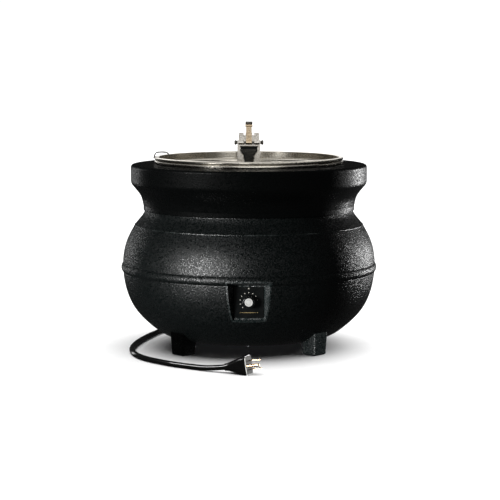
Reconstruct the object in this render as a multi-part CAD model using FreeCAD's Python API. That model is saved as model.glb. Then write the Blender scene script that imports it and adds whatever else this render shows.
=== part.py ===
"""Countertop soup kettle: cauldron-shaped heated body with a lift-out stainless inset.

Millimetres, +Z up. The origin is on the kettle's axis, on the surface it stands on.
The control panel faces -Y, and the hinge clip and the mains cord are at the back, +Y.
"""
import FreeCAD
import Part

import math
import os

V = FreeCAD.Vector
X_AXIS = V(1, 0, 0)
Y_AXIS = V(0, 1, 0)
Z_AXIS = V(0, 0, 1)
ORIGIN = V(0, 0, 0)

# Moulded body: radii and heights of the outline
COLLAR_R = 188.5
COLLAR_TOP_Z = 291.3
NECK_R = 168.6
JOINT_Z = 219.2
SHOULDER_R = 182.9
SHOULDER_Z = 195.0
BELT_TOP_Z = 134.1
BELT_LOW_Z = 120.9
BELT_EDGE_R = 202.1
BELT_R = 204.7
BASE_Z = 18.0
BASE_R = 128.0
BASE_HOLE_R = 112.0
WALL = 4.0
SEAM = 0.2

# Rolled rims of the water well and of the inset, one on the other
RIM_R = 150.8
BEAD_R = 2.5
WELL_RIM_Z = 295.5
INSET_RIM_Z = 300.8
SHEET = 0.9
WELL_WALL_R = 146.8
WELL_FLOOR_Z = 76.0
INSET_BAND_R = 145.2
INSET_WALL_R = 139.0
INSET_LEDGE_Z = 291.0
INSET_FOOT_R = 134.8
INSET_FLOOR_Z = 88.0

# Long rods that clamp the body together, on this radius
TIE_ROD_RADIUS = 160.3

# Feet: square tapered posts, set with a corner to the front
FOOT_RADIUS = 143.8
FOOT_SIDE_LOW = 26.5
FOOT_SIDE_HIGH = 31.0
FOOT_TOP_Z = 46.0
PAD_PROUD = 0.8
PAD_RECESS = 2.0
FOOT_SCREW_R = 3.0
FOOT_ANGLES = {"front_left": 225, "front_right": 315, "rear_left": 135, "rear_right": 45}

# Control pocket in the front of the belly
POCKET_BACK_Y = -181.8
POCKET_HALF = 23.0
POCKET_LOW_Z = 67.5
POCKET_HIGH_Z = 119.0
POCKET_DRAFT = 0.51
POCKET_TOP_DRAFT = 0.30
POCKET_SILL_DRAFT = 0.83
POCKET_REACH = 26.0
POCKET_WALL = 2.6
PANEL_THICK = 1.2
CONTROL_Z = 95.5
SPINDLE_R = 3.0
KNOB_R = 10.0
KNOB_FRONT_Y = -195.0
KNOB_CAP_R = 6.3

# Hinge clip on the back of the rim
CLIP_HALF = 19.4
PLATE = 1.5
FRONT_PLATE_Y = 134.0
BACK_PLATE_Y = 152.0
BACK_PLATE_HALF = 17.3
BACK_PLATE_TOP_Z = 334.0
PIN_Y = 148.2
PIN_Z = 317.6
PIN_R = 2.0
PIN_HALF = 24.5
BARREL_R = 3.7
TONGUE_HALF = 4.8
TONGUE_ROD_Z = 350.3
TONGUE_ROD_R = 2.5
LEVER_Y = 136.5
LEVER_Z = 307.5
LEVER_HEAD_R = 4.6
LEVER_HEAD_HALF = 14.0
LEVER_BACK_Y = 137.4
LEVER_PIN_R = 1.5
RUNNING_FIT = 0.05

# Mains cord
CORD_R = 4.1
CORD_FLOOR_Z = 4.2
GLAND_X = 32.0
GLAND_Z = 28.0
GLAND_FACE_Y = 158.0
RELIEF_TIP_Y = 184.0
COIL_X = -12.8
COIL_Y = 256.0
COIL_LOW_Z = 5.1
COIL_PITCH = 8.3
COIL_INNER_R = 36.5
COIL_EXIT_DEG = 150.0

# Three-pin plug, lying with its cord end on the surface
PLUG_TAIL = V(-34.5, -256.5, 8.5)
PLUG_DIRECTION = V(35.0, -14.0, 5.5).normalize()
PLUG_LENGTH = 38.0
PLUG_HIGH = 28.0
PLUG_DEEP = 25.0
BLADE_LENGTH = 17.0
BLADE_GAP = 12.7
GROUND_OFFSET = 11.9


def save(name, shape):
    """Write one sub-part and report its volume."""
    shape.exportStep("parts/" + name + ".step")
    solids = len(shape.Solids)
    print(f"{name:22s} solids {solids:2d} valid {shape.isValid()} volume {shape.Volume:12.1f}")


def at(r, z):
    return V(r, 0, z)


def line(start, end):
    return Part.LineSegment(at(*start), at(*end)).toShape()


def arc(start, middle, end):
    return Part.Arc(at(*start), at(*middle), at(*end)).toShape()


def smooth(points, first=None, last=None):
    """One curve through the points; first and last are end directions in r and z."""
    curve = Part.BSplineCurve()
    ends = {}
    if first:
        ends["InitialTangent"] = at(*first)
    if last:
        ends["FinalTangent"] = at(*last)
    curve.interpolate([at(*p) for p in points], **ends)
    return curve.toShape()


def path(points):
    """Straight edges through the points."""
    return [line(a, b) for a, b in zip(points, points[1:])]


def turned(edges):
    """Solid of revolution about the kettle's axis from one closed outline."""
    return Part.Face(Part.Wire(edges)).revolve(ORIGIN, Z_AXIS, 360)


def ring(r_in, r_out, z_low, z_high):
    outer = Part.makeCylinder(r_out, z_high - z_low, V(0, 0, z_low))
    return outer.cut(Part.makeCylinder(r_in, z_high - z_low, V(0, 0, z_low)))


def box(x0, x1, y0, y1, z0, z1):
    return Part.makeBox(x1 - x0, y1 - y0, z1 - z0, V(x0, y0, z0))


def rod_y(r, y0, y1, x, z):
    return Part.makeCylinder(r, y1 - y0, V(x, y0, z), Y_AXIS)


def rod_x(r, x0, x1, y, z):
    return Part.makeCylinder(r, x1 - x0, V(x0, y, z), X_AXIS)


def rod_z(r, z0, z1, x, y):
    return Part.makeCylinder(r, z1 - z0, V(x, y, z0))


def polygon_face(points):
    return Part.Face(Part.makePolygon(points + [points[0]]))


def around(shape, degrees):
    """A copy of the shape turned about the kettle's axis."""
    copy = shape.copy()
    copy.rotate(ORIGIN, Z_AXIS, degrees)
    return copy


def merge(shapes):
    return shapes[0].multiFuse(shapes[1:]).removeSplitter()


def group(shapes):
    """Separate identical pieces in one node."""
    return Part.makeCompound(shapes)


# ---------------------------------------------------------------- moulded body

def lower_outline():
    """Outer outline of the lower belly, from its top edge down to the flat base."""
    return [
        smooth(
            [(201.7, BELT_LOW_Z - SEAM), (198.2, 98), (191.8, 78), (181.8, 60), (169.6, 46),
             (156.2, 34), (143, 24.4), (BASE_R, BASE_Z)],
            last=(-1, 0),
        )
    ]


def belly_solid():
    """Everything inside the outer surface of the belly, used to trim pieces flush with it."""
    edges = lower_outline()
    edges += path([(BASE_R, BASE_Z), (0, BASE_Z), (0, SHOULDER_Z), (SHOULDER_R, SHOULDER_Z)])
    edges.append(smooth([(SHOULDER_R, SHOULDER_Z), (196.2, 168), (200.7, 150), (202.2, BELT_TOP_Z)]))
    edges.append(arc((202.2, BELT_TOP_Z), (BELT_R, 127.5), (201.7, BELT_LOW_Z - SEAM)))
    return turned(edges)


def pocket_loft(grow):
    """Drafted prism of the control pocket; grow widens it on every side."""
    back = POCKET_BACK_Y + grow
    depth = POCKET_REACH + grow
    sections = []
    for y, d in ((back, -grow), (back - depth, POCKET_REACH)):
        half = POCKET_HALF + grow + POCKET_DRAFT * d
        low = POCKET_LOW_Z - grow - POCKET_SILL_DRAFT * d
        high = POCKET_HIGH_Z + grow + POCKET_TOP_DRAFT * d
        corners = [V(-half, y, low), V(half, y, low), V(half, y, high), V(-half, y, high)]
        sections.append(Part.makePolygon(corners + [corners[0]]))
    return Part.makeLoft(sections, True, True)


def neck_collar():
    """Thick ring round the mouth and the concave neck under it, in one moulding."""
    bottom = [(187.4, 261), (183.3, 255.5), (175.6, 246), (170.6, 235), (168.9, 227)]
    outer = [
        line((147.6, 292.7), (184, COLLAR_TOP_Z)),
        arc((184, COLLAR_TOP_Z), (187.2, 290.1), (COLLAR_R, 286.8)),
        line((COLLAR_R, 286.8), (COLLAR_R, 266)),
        smooth([(COLLAR_R, 266)] + bottom + [(NECK_R, JOINT_Z)], first=(0, -1), last=(0, -1)),
        line((NECK_R, JOINT_Z), (NECK_R - WALL, JOINT_Z)),
    ]
    inner_curve = [(NECK_R - WALL, JOINT_Z), (164.9, 227), (166.6, 236), (171.8, 247.6), (179.8, 257.6),
                   (183.2, 262.4), (184.4, 268)]
    inner = [
        smooth(inner_curve, first=(0, 1), last=(0, 1)),
        line((184.4, 268), (184.4, 287.2)),
        line((184.4, 287.2), (147.6, 288.6)),
        line((147.6, 288.6), (147.6, 292.7)),
    ]
    body = turned(outer + inner)
    for angle in (45, 135, 225, 315):
        boss = around(rod_z(6.5, 266, 288.3, TIE_ROD_RADIUS, 0), angle)
        body = body.fuse(boss)
    return body.cut(tie_rods(0.1)).removeSplitter()


def upper_shell():
    """Flared shoulder and upper belly."""
    edges = path([(162.3, JOINT_Z - SEAM), (166.3, JOINT_Z - SEAM), (166.3, 217.8)])
    edges.append(smooth([(166.3, 217.8), (168.5, 213), (175.3, 204), (181.7, 196.4)]))
    edges += path([(181.7, 196.4), (SHOULDER_R, 195.7), (SHOULDER_R, 194.4), (183.3, 193.8)])
    edges.append(smooth([
        (183.3, 193.8), (188.8, 184), (196.2, 168), (200.7, 150), (202.2, BELT_TOP_Z + SEAM),
    ]))
    edges.append(line((202.2, BELT_TOP_Z + SEAM), (198.2, BELT_TOP_Z + SEAM)))
    edges.append(
        smooth([(198.2, BELT_TOP_Z + SEAM), (196.7, 149.3), (192.4, 166.8), (185.3, 182), (179.3, 191.5),
                (171.8, 201.5), (165.2, 210.5), (162.3, 216)])
    )
    edges.append(line((162.3, 216), (162.3, JOINT_Z - SEAM)))
    return turned(edges)


def belt_ring():
    """Convex band that joins the two belly shells, with a locating web inside."""
    web = [(BELT_EDGE_R, BELT_TOP_Z), (198.0, BELT_TOP_Z), (198.0, 131), (196.0, 131), (196.0, 142),
           (194.2, 142), (194.2, 113), (196.0, 113), (196.0, 124), (198.0, 124), (198.0, BELT_LOW_Z),
           (BELT_EDGE_R, BELT_LOW_Z)]
    edges = [arc((BELT_EDGE_R, BELT_LOW_Z), (BELT_R, 127.5), (BELT_EDGE_R, BELT_TOP_Z))] + path(web)
    return turned(edges).cut(pocket_loft(POCKET_WALL + SEAM))


def lower_shell():
    """Lower belly with its flat base, foot bosses, rod bosses and cord gland seat."""
    edges = lower_outline()
    edges += path([
        (BASE_R, BASE_Z), (BASE_HOLE_R, BASE_Z), (BASE_HOLE_R, BASE_Z + WALL), (127, BASE_Z + WALL),
    ])
    edges.append(
        smooth([(127, BASE_Z + WALL), (140.2, 27.8), (153.4, 37.2), (166.6, 49), (178.3, 62.6), (188, 79.6),
                (194.3, 98.8), (197.7, BELT_LOW_Z - SEAM)], first=(1, 0))
    )
    edges.append(line((197.7, BELT_LOW_Z - SEAM), (201.7, BELT_LOW_Z - SEAM)))
    shell = turned(edges)
    bosses = []
    for angle in FOOT_ANGLES.values():
        bosses.append(around(rod_z(7.0, BASE_Z, 40, FOOT_RADIUS, 0), angle))
        bosses.append(around(rod_z(6.5, BASE_Z, 58, TIE_ROD_RADIUS, 0), angle))
    inside = merge(bosses).common(belly_solid())
    seat = rod_y(11.0, 128, GLAND_FACE_Y, GLAND_X, GLAND_Z)
    shell = shell.fuse(inside).fuse(seat)
    for angle in FOOT_ANGLES.values():
        shell = shell.cut(around(rod_z(FOOT_SCREW_R + 0.05, 10, 37, FOOT_RADIUS, 0), angle))
    for hole in ring_of_rods(6, 117, 2.0, 10, 30):
        shell = shell.cut(hole)
    shell = shell.cut(tie_rods(0.1))
    shell = shell.cut(rod_y(6.3, 120, 170, GLAND_X, GLAND_Z))
    return shell.cut(pocket_loft(POCKET_WALL + SEAM)).removeSplitter()


def ring_of_rods(count, radius, r, z0, z1):
    """Upright cylinders evenly round the axis, the first half a step from +X."""
    step = 360.0 / count
    return [around(rod_z(r, z0, z1, radius, 0), step * (i + 0.5)) for i in range(count)]


def tie_rods(extra=0.0):
    """Four long rods that clamp the collar and the belly shells together."""
    return group(ring_of_rods(4, TIE_ROD_RADIUS, 2.0 + extra, 46 - extra, 284 + extra))


def control_pocket():
    """Drafted tray set into the belly, flush with its surface."""
    tray = pocket_loft(POCKET_WALL).common(belly_solid()).cut(pocket_loft(0.0))
    return tray.cut(rod_y(8.0, -190, -170, 0, CONTROL_Z))


def control_panel():
    """Flat face plate on the pocket's back wall."""
    plate = box(-22.2, 22.2, POCKET_BACK_Y - PANEL_THICK, POCKET_BACK_Y, 70, 117.5)
    upright = [e for e in plate.Edges if abs(e.BoundBox.YLength - PANEL_THICK) < 1e-6]
    plate = plate.makeFillet(1.5, upright)
    return plate.cut(rod_y(5.0, -190, -170, 0, CONTROL_Z))


def foot_blank():
    """Tapered square post on the +X side, flat faces square to the radius."""
    sections = []
    for side, z in ((FOOT_SIDE_LOW, PAD_PROUD), (FOOT_SIDE_HIGH, FOOT_TOP_Z)):
        h = side / 2
        corners = [V(FOOT_RADIUS + sx * h, sy * h, z) for sx, sy in ((-1, -1), (1, -1), (1, 1), (-1, 1))]
        sections.append(Part.makePolygon(corners + [corners[0]]))
    post = Part.makeLoft(sections, True, True)
    upright = [e for e in post.Edges if e.BoundBox.ZLength > 30]
    post = post.makeFillet(2.2, upright)
    bottom = [e for e in post.Edges if e.BoundBox.ZMax < PAD_PROUD + 0.01]
    post = post.makeFillet(2.0, bottom)
    post = post.cut(rod_z(8.2, 0, PAD_PROUD + PAD_RECESS, FOOT_RADIUS, 0))
    post = post.cut(rod_z(5.8, 0, 12, FOOT_RADIUS, 0))
    return post.cut(rod_z(FOOT_SCREW_R + 0.05, 0, 50, FOOT_RADIUS, 0))


def feet():
    belly = belly_solid()
    post = foot_blank()
    for name, angle in FOOT_ANGLES.items():
        save("foot_" + name, around(post, angle).cut(belly))


def foot_screws():
    head = rod_z(5.4, 6, 12, FOOT_RADIUS, 0)
    screw = head.fuse(rod_z(FOOT_SCREW_R, 12, 36, FOOT_RADIUS, 0))
    screw = screw.cut(hex_prism(2.6, 5, 9, FOOT_RADIUS, 0))
    return group([around(screw, a) for a in FOOT_ANGLES.values()])


def foot_pads():
    pad = rod_z(8.0, 0, PAD_PROUD + PAD_RECESS, FOOT_RADIUS, 0)
    rim = [e for e in pad.Edges if e.BoundBox.ZMax < 0.01]
    pad = pad.makeFillet(0.6, rim)
    return group([around(pad, a) for a in FOOT_ANGLES.values()])


def hex_prism(r, z0, z1, x, y):
    corners = [V(x + r * math.cos(math.radians(60 * i)), y + r * math.sin(math.radians(60 * i)), z0)
               for i in range(6)]
    return polygon_face(corners).extrude(V(0, 0, z1 - z0))


def base_cover():
    """Steel disc that closes the base, with ventilation slots."""
    plate = rod_z(121, BASE_Z + WALL, BASE_Z + WALL + 1.2, 0, 0)
    slot = box(58, 92, -2.5, 2.5, BASE_Z, BASE_Z + 10)
    for i in range(12):
        plate = plate.cut(around(slot, 30 * i + 15))
    for hole in ring_of_rods(6, 117, 2.0, 10, 30):
        plate = plate.cut(hole)
    return plate


def base_screws():
    screws = []
    for head, shank in zip(ring_of_rods(6, 117, 3.4, 16.2, 18), ring_of_rods(6, 117, 1.9, 18, 26)):
        screws.append(head.fuse(shank))
    return group(screws)


# ---------------------------------------------------------------- vessels

def bead(z):
    return Part.makeTorus(RIM_R - BEAD_R, BEAD_R, V(0, 0, z))


def water_well():
    """Fixed pan that holds the heating water and carries the inset on its rolled rim."""
    low = WELL_FLOOR_Z
    corner = 15.0
    bend = 0.2929 * corner
    outer = WELL_WALL_R
    inner = outer - SHEET
    top = WELL_RIM_Z + 0.5
    inner_corner = corner - SHEET
    inner_bend = 0.2929 * inner_corner
    edges = [
        line((0, low), (outer - corner, low)),
        arc((outer - corner, low), (outer - bend, low + bend), (outer, low + corner)),
        line((outer, low + corner), (outer, top)),
        line((outer, top), (inner, top)),
        line((inner, top), (inner, low + corner)),
        arc((inner, low + corner), (inner - inner_bend, low + SHEET + inner_bend),
            (outer - corner, low + SHEET)),
        line((outer - corner, low + SHEET), (0, low + SHEET)),
        line((0, low + SHEET), (0, low)),
    ]
    return turned(edges).fuse(bead(WELL_RIM_Z)).removeSplitter()


def inset_vessel():
    """Lift-out food vessel with a rolled rim, an upright band and a stacking ledge."""
    low = INSET_FLOOR_Z
    foot = INSET_FOOT_R
    corner = 18.0
    bend = 0.2929 * corner
    inner_corner = corner - SHEET
    inner_bend = 0.2929 * inner_corner
    band = INSET_BAND_R
    wall = INSET_WALL_R
    ledge = INSET_LEDGE_Z
    lip = INSET_RIM_Z + BEAD_R
    outside = [
        line((0, low), (foot - corner, low)),
        arc((foot - corner, low), (foot - bend, low + bend), (foot, low + corner)),
        line((foot, low + corner), (wall, ledge - 3)),
        arc((wall, ledge - 3), (wall + 0.9, ledge - 0.9), (wall + 3, ledge)),
        line((wall + 3, ledge), (band - 1, ledge)),
        arc((band - 1, ledge), (band - 0.3, ledge + 0.3), (band, ledge + 1)),
        line((band, ledge + 1), (band, lip - SHEET - 1)),
        arc((band, lip - SHEET - 1), (band + 0.3, lip - SHEET - 0.3), (band + 1, lip - SHEET)),
        line((band + 1, lip - SHEET), (RIM_R - BEAD_R, lip - SHEET)),
        line((RIM_R - BEAD_R, lip - SHEET), (RIM_R - BEAD_R, lip)),
    ]
    inside = [
        line((RIM_R - BEAD_R, lip), (band + 1, lip)),
        arc((band + 1, lip), (band - 0.36, lip - 0.54), (band - SHEET, lip - 1.9)),
        line((band - SHEET, lip - 1.9), (band - SHEET, ledge + 1.9)),
        arc((band - SHEET, ledge + 1.9), (band - 1.2, ledge + 1.2), (band - 1.9, ledge + SHEET)),
        line((band - 1.9, ledge + SHEET), (wall + 3, ledge + SHEET)),
        arc((wall + 3, ledge + SHEET), (wall + 0.3, ledge - 0.3), (wall - SHEET, ledge - 3)),
        line((wall - SHEET, ledge - 3), (foot - SHEET, low + corner)),
        arc((foot - SHEET, low + corner), (foot - SHEET - inner_bend, low + SHEET + inner_bend),
            (foot - corner, low + SHEET)),
        line((foot - corner, low + SHEET), (0, low + SHEET)),
        line((0, low + SHEET), (0, low)),
    ]
    return turned(outside + inside).fuse(bead(INSET_RIM_Z)).removeSplitter()


def rim_lift_tab():
    """Folded finger tab over the left of the inset's rim."""
    half = 9.0
    outer = [(-152.0, 300.5), (-151.2, 305.5), (-148.2, 309.8), (-144.0, 310.8), (-133.0, 310.6),
             (-129.0, 309.0), (-127.2, 305.6)]
    inner = [(-128.7, 305.2), (-130.2, 308.0), (-133.6, 309.1), (-143.6, 309.3), (-147.2, 308.5),
             (-149.7, 304.8), (-150.4, 300.9)]
    outline = [smooth(outer), line(outer[-1], inner[0]), smooth(inner), line(inner[-1], outer[0])]
    tab = Part.Face(Part.Wire(outline)).extrude(V(0, 2 * half, 0))
    tab.translate(V(0, -half, 0))
    return tab


# ---------------------------------------------------------------- heating and control

def heater_band():
    band = ring(WELL_WALL_R + 0.1, WELL_WALL_R + 1.7, 96, 150)
    return band.cut(box(130, 160, -6, 6, 90, 160))


def heater_clamp():
    """Strap round the heater with two lugs and their screw."""
    r_in = WELL_WALL_R + 1.8
    strap = ring(r_in, r_in + 0.9, 116, 130).cut(box(130, 160, -6, 6, 110, 140))
    lugs = [box(r_in + 0.1, r_in + 10, y, y + 1.2, 116, 130) for y in (-7.2, 6.0)]
    screw = rod_y(1.8, -10, 10, r_in + 6, 123)
    head = rod_y(3.0, 10, 12.4, r_in + 6, 123)
    return merge([strap] + lugs + [screw, head])


def insulation_jacket():
    """Felt sleeve, notched for the heater's clamp and for the thermostat and its wires."""
    jacket = ring(151.6, 156.0, 84, 214)
    jacket = jacket.cut(box(-26, 26, -170, -130, 80, 122))
    return jacket.cut(box(140, 170, -14, 14, 108, 138))


def heat_shield():
    """Shallow pan that keeps the heat off the base."""
    pan = rod_z(122, 58, 59, 0, 0).fuse(ring(121, 122, 58, 66))
    for post in shield_posts().Solids:
        pan = pan.cut(rod_z(2.1, 50, 70, post.CenterOfMass.x, post.CenterOfMass.y))
    return pan.removeSplitter()


def shield_posts():
    post = rod_z(3.2, 23.2, 58, 99, 0).fuse(rod_z(2.0, 58, 63, 99, 0))
    return group([around(post, a) for a in (45, 135, 225, 315)])


def thermostat_body():
    back = -161.0
    wall = POCKET_BACK_Y + POCKET_WALL
    case = box(-15, 15, wall, back, 79, 112)
    bush = rod_y(4.75, -186.4, wall, 0, CONTROL_Z)
    tags = [box(x - 3, x + 3, back, back + 6, z, z + 0.8) for x in (-8, 8) for z in (84, 106)]
    body = merge([case, bush] + tags)
    return body.cut(rod_y(SPINDLE_R + RUNNING_FIT, -190, -168, 0, CONTROL_Z))


def thermostat_nut():
    nut = hex_prism(7.6, 0, 2.4, 0, 0).cut(rod_z(4.8, -1, 4, 0, 0))
    nut.rotate(ORIGIN, X_AXIS, 90)
    nut.translate(V(0, POCKET_BACK_Y - PANEL_THICK, CONTROL_Z))
    return nut


def thermostat_spindle():
    """Shaft with a flat for the knob."""
    shaft = rod_y(SPINDLE_R, -193.5, -168.3, 0, CONTROL_Z)
    return shaft.cut(box(-4, 4, -194, -187, CONTROL_Z + 2.0, CONTROL_Z + 5))


def control_knob():
    """Fluted knob, hollow at the back to clear the nut."""
    back = -184.0
    shell = Part.makeCone(KNOB_R, KNOB_R - 1.0, back - KNOB_FRONT_Y, V(0, back, CONTROL_Z), V(0, -1, 0))
    rim = [e for e in shell.Edges if e.BoundBox.YMax < KNOB_FRONT_Y + 0.01]
    shell = shell.makeFillet(0.8, rim)
    flutes = 20
    for i in range(flutes):
        a = math.radians(360.0 * i / flutes)
        x = (KNOB_R + 0.1) * math.cos(a)
        z = CONTROL_Z + (KNOB_R + 0.1) * math.sin(a)
        shell = shell.cut(rod_y(0.7, KNOB_FRONT_Y + 2.4, back + 1, x, z))
    shell = shell.cut(rod_y(8.1, -186.8, back + 1, 0, CONTROL_Z))
    shell = shell.cut(thermostat_spindle())
    shell = shell.cut(rod_y(SPINDLE_R, -188, back + 1, 0, CONTROL_Z))
    return shell.cut(rod_y(KNOB_CAP_R, KNOB_FRONT_Y - 1, KNOB_FRONT_Y + 0.6, 0, CONTROL_Z))


def knob_cap():
    """Pale disc let into the knob's front."""
    cap = rod_y(KNOB_CAP_R - 0.1, KNOB_FRONT_Y - 1.0, KNOB_FRONT_Y + 0.6, 0, CONTROL_Z)
    front = [e for e in cap.Edges if e.BoundBox.YMax < KNOB_FRONT_Y - 0.99]
    return cap.makeFillet(0.5, front)


def sensing_bulb():
    return rod_y(3.0, -92, -24, -34, 72.6)


def bulb_clip():
    """Saddle that holds the bulb up against the well's floor."""
    loop = rod_y(3.9, -64, -54, -34, 72.6)
    wings = box(-43.8, -24.2, -64, -54, 75.0, 75.9)
    clip = merge([loop.cut(box(-40, -28, -70, -50, 75.9, 80)), wings])
    return clip.cut(rod_y(3.05, -70, -50, -34, 72.6))


def capillary_tube():
    route = [V(6, -166, 79), V(6, -166, 68), V(2, -146, 68), V(-20, -126, 69), V(-34, -108, 72.6),
             V(-34, -92, 72.6)]
    return tube(route, 1.1)


def high_limit_cutout():
    can = rod_z(8.5, 66, 75.0, 34, 10)
    flange = box(19, 49, 6, 14, 75.0, 75.9)
    tags = [box(x - 0.4, x + 0.4, 7, 13, 61.5, 66) for x in (30, 38)]
    return merge([can, flange] + tags)


def terminal_block():
    block = box(14, 50, 92, 108, 23.2, 40)
    for x in (20, 32, 44):
        block = block.cut(rod_z(2.4, 33, 45, x, 100))
    return block


def internal_leads():
    """Three cores from the gland to the terminal block, and two on to the thermostat."""
    cores = [tube([V(x, 131, 28), V(x, 123, 28), V(x, 116, 30), V(x, 108.2, 30)], 1.5) for x in (28, 32, 36)]
    for shift in (0.0, 5.0):
        route = [V(20 + shift, 91.8, 30), V(20 + shift, 78, 30), V(10 + shift, 52, 29), V(-22 + shift, 6, 28),
                 V(-8 + shift, -60, 29), V(6 + shift, -112, 34), V(9 + shift, -134, 50), V(9 + shift, -149, 70),
                 V(9 + shift, -151.5, 92), V(9 + shift, -160.8, 92)]
        cores.append(tube(route, 1.5))
    return group(cores)


def earth_stud():
    stud = rod_z(2.5, 23.2, 38, 62, 62).fuse(hex_prism(4.6, 23.2, 27.2, 62, 62))
    return stud.fuse(hex_prism(4.6, 30, 34, 62, 62)).removeSplitter()


# ---------------------------------------------------------------- hinge clip

def mirrored(shape):
    """The same piece on the other side of the kettle's middle plane."""
    return shape.mirror(ORIGIN, X_AXIS)


def outline_face(half_points, y):
    """Face in a plane of constant y, symmetric in x, from (x, z) points down the right side."""
    right = [V(x, y, z) for x, z in half_points]
    left = [V(-x, y, z) for x, z in reversed(half_points)]
    return polygon_face(right + left)


LEVER_OUTLINE = [(LEVER_HEAD_HALF, LEVER_Z), (LEVER_HEAD_HALF, 304.2), (9.2, 297.6), (8.2, 295.6), (7.7, 283.5),
                 (6.2, 282.0)]
WINDOW_OUTLINE = [(15.2, 312.7), (15.2, 303.8), (10.4, 297.2), (9.4, 295.2), (9.0, 280.4), (7.4, 279.0)]


def clip_cheek():
    """Side of the clip: inside the vessel, over the rim and back to the rear flange."""
    y0 = FRONT_PLATE_Y
    profile = [(y0, 286), (135.9, 286), (136.2, 291), (141.8, 296), (141.8, 304.5), (BACK_PLATE_Y, 304.5),
               (BACK_PLATE_Y, 322.5), (144.2, 322.5), (140.5, 317.0), (y0, 314.4)]
    x0 = CLIP_HALF - PLATE
    return polygon_face([V(x0, y, z) for y, z in profile]).extrude(V(PLATE, 0, 0))


def hinge_bracket():
    """Front plate with a shaped window, and two cheeks that carry the pins."""
    plate = box(-CLIP_HALF, CLIP_HALF, FRONT_PLATE_Y, FRONT_PLATE_Y + PLATE, 272, 314.4)
    low = [e for e in plate.Edges if abs(e.BoundBox.YLength - PLATE) < 1e-6 and e.BoundBox.ZMax < 273]
    plate = plate.makeFillet(4.0, low)
    plate = plate.cut(outline_face(WINDOW_OUTLINE, FRONT_PLATE_Y - 1).extrude(V(0, 4, 0)))
    flange = box(11.0, CLIP_HALF, BACK_PLATE_Y - PLATE, BACK_PLATE_Y, 305.2, 312.4)
    side = clip_cheek().fuse(flange)
    bracket = merge([plate, side, mirrored(side)])
    bracket = bracket.cut(rod_x(PIN_R, -30, 30, PIN_Y, PIN_Z))
    bracket = bracket.cut(rod_x(LEVER_PIN_R, -30, 30, LEVER_Y, LEVER_Z))
    for x in (-14.6, 14.6):
        bracket = bracket.cut(rod_y(1.5, 148, 156, x, 308.8))
    return bracket


def hinge_back_plate():
    """Tall rear plate that hooks down behind the rims and stops the tongue."""
    plate = box(-BACK_PLATE_HALF, BACK_PLATE_HALF, BACK_PLATE_Y, BACK_PLATE_Y + PLATE, 294.6, BACK_PLATE_TOP_Z)
    upright = [e for e in plate.Edges if abs(e.BoundBox.YLength - PLATE) < 1e-6]
    plate = plate.makeFillet(2.5, upright)
    for x in (-7.2, 7.2):
        plate = plate.cut(rod_y(1.5, 150, 156, x, 331.2))
        plate = plate.cut(box(x - 1.5, x + 1.5, 150, 156, 331.2, 340))
    for x in (-14.6, 14.6):
        plate = plate.cut(rod_y(1.5, 150, 156, x, 308.8))
    return plate


def bracket_rivets():
    rivets = []
    for x in (-14.6, 14.6):
        shank = rod_y(1.5, 149.6, 154.4, x, 308.8)
        heads = [Part.makeCone(2.7, 1.6, 0.9, V(x, y, 308.8), V(0, s, 0)) for y, s in ((153.5, 1), (150.5, -1))]
        rivets.append(merge([shank] + heads))
    return group(rivets)


def hinge_pin():
    """Cross pin with a domed head at each end."""
    pin = rod_x(PIN_R, -21, 21, PIN_Y, PIN_Z)
    inner = CLIP_HALF + 0.1
    heads = []
    for sign in (-1, 1):
        collar = Part.makeCylinder(2.9, 1.2, V(sign * inner, PIN_Y, PIN_Z), V(sign, 0, 0))
        knob = Part.makeCylinder(4.0, PIN_HALF - inner - 1.2, V(sign * (inner + 1.2), PIN_Y, PIN_Z), V(sign, 0, 0))
        knob = knob.makeFillet(1.5, [e for e in knob.Edges if e.Length > 15])
        heads += [collar, knob]
    return merge([pin] + heads)


def hinge_knuckles():
    sleeve = rod_x(BARREL_R, 9.0, 17.8, PIN_Y, PIN_Z).cut(rod_x(PIN_R + 0.02, 5, 20, PIN_Y, PIN_Z))
    return group([sleeve, mirrored(sleeve)])


def latch_pin():
    return rod_x(LEVER_PIN_R, -CLIP_HALF, CLIP_HALF, LEVER_Y, LEVER_Z)


def hinge_tongue():
    """Upright leaf for the lift-off cover: barrel, blade and a raised bead under its saddled top."""
    barrel = rod_x(BARREL_R, -TONGUE_HALF, TONGUE_HALF, PIN_Y, PIN_Z)
    blade = box(-TONGUE_HALF, TONGUE_HALF, PIN_Y + 1.0, PIN_Y + 3.0, PIN_Z, TONGUE_ROD_Z - 1.7)
    bead_rib = rod_x(1.9, -6.3, 6.3, PIN_Y + 1.6, TONGUE_ROD_Z - 4.6)
    tongue = merge([barrel, blade, bead_rib])
    tongue = tongue.cut(rod_x(PIN_R + RUNNING_FIT, -10, 10, PIN_Y, PIN_Z))
    return tongue.cut(tongue_rod())


def tongue_rod():
    """Dark cross rod seated in the top of the tongue."""
    rod = rod_x(TONGUE_ROD_R, -6.0, 6.0, PIN_Y + 1.6, TONGUE_ROD_Z)
    return rod.makeFillet(0.6, [e for e in rod.Edges if e.Length > 15])


def latch_lever():
    """Moulded cam lever that locks the clip on the rim: wide rounded head, narrow grip."""
    front_y = LEVER_Y - LEVER_HEAD_R
    grip = outline_face(LEVER_OUTLINE, front_y).extrude(V(0, LEVER_BACK_Y - front_y, 0))
    front = [e for e in grip.Edges if e.BoundBox.YMax < front_y + 0.01 and e.BoundBox.ZMin < LEVER_Z - 1]
    grip = grip.makeFillet(1.4, front)
    head = rod_x(LEVER_HEAD_R, -LEVER_HEAD_HALF, LEVER_HEAD_HALF, LEVER_Y, LEVER_Z)
    head = head.makeFillet(1.2, [e for e in head.Edges if e.Length > 28])
    lever = merge([grip, head])
    return lever.cut(rod_x(LEVER_PIN_R + RUNNING_FIT, -20, 20, LEVER_Y, LEVER_Z))


# ---------------------------------------------------------------- cord and plug

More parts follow.
